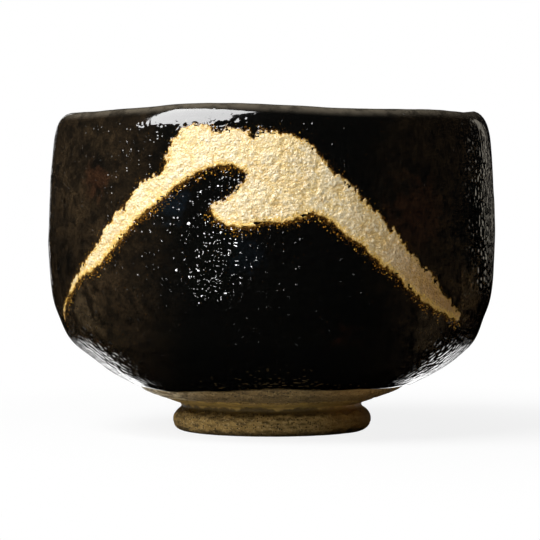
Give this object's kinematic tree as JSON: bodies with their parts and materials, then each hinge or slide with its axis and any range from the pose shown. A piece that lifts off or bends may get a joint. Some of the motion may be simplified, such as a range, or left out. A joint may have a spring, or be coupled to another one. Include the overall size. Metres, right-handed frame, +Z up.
{
  "type": "matcha bowl",
  "caption": "Hand-formed round tea bowl with upright glazed walls, a gently wavy lip, a reserved light patch on the front and a short flared foot ring.",
  "frame": {"origin": "middle of the foot ring's resting face", "axes": "+Z up out of the bowl's mouth, -Y towards the decorated front, +X to the right of the front"},
  "size_m": [0.118, 0.1182, 0.085],
  "materials": {
    "bare_clay": "bare fired clay, olive brown, matt, finely gritty",
    "foot_clay": "bare fired clay, olive to ochre brown, matt, with dark specks and pits",
    "black_glaze": "deep black glaze, high gloss with a fine orange-peel surface and brown tints",
    "liner_glaze": "black glaze, glossy, slightly softer than the outside",
    "cream_slip": "cream pebbly patch with a satin skin and an amber fringe"
  },
  "bodies": {
    "root": {"clay_body": "bare_clay", "foot_ring": "foot_clay", "outer_glaze": "black_glaze", "inner_glaze": "liner_glaze", "slip_patch": "cream_slip"}
  },
  "joints": []
}
